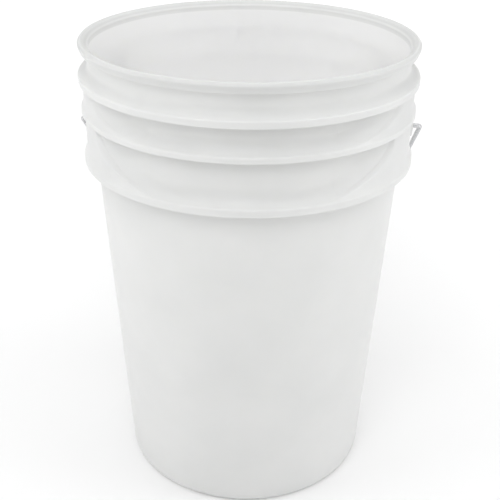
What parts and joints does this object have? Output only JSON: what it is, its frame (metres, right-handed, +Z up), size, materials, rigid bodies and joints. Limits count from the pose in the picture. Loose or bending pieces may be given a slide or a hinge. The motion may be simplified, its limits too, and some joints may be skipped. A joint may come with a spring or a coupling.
{
  "type": "plastic fermenting bucket",
  "caption": "Tall tapered plastic pail with a beaded rim, flared reinforcing rings, side ears and a swinging wire bail with a grip, for holding fermenting liquid.",
  "frame": {"origin": "centre of the foot, on the surface that the bucket stands on", "axes": "+Z up along the bucket's axis; X along the bail's pivot axis; +Y towards the side where the bail hangs"},
  "size_m": [0.327, 0.3194, 0.445],
  "materials": {
    "bucket_plastic": "satin, slightly translucent white HDPE",
    "zinc_wire": "dull zinc plating",
    "grip_plastic": "satin white plastic"
  },
  "bodies": {
    "bucket": {"bucket": "bucket_plastic"},
    "bail": {"bail_wire": "zinc_wire"},
    "grip": {"grip": "grip_plastic"}
  },
  "joints": [
    {"name": "bail_swing", "type": "hinge", "parent": "bucket", "child": "bail", "pos_m": [0, 0, 0.362], "axis": [1, 0, 0], "range_deg": [0, 254]},
    {"name": "grip_spin", "type": "hinge", "parent": "bail", "child": "grip", "pos_m": [0.0014, 0.15174, 0.24766], "axis": [1, 0, 0], "continuous": true}
  ]
}
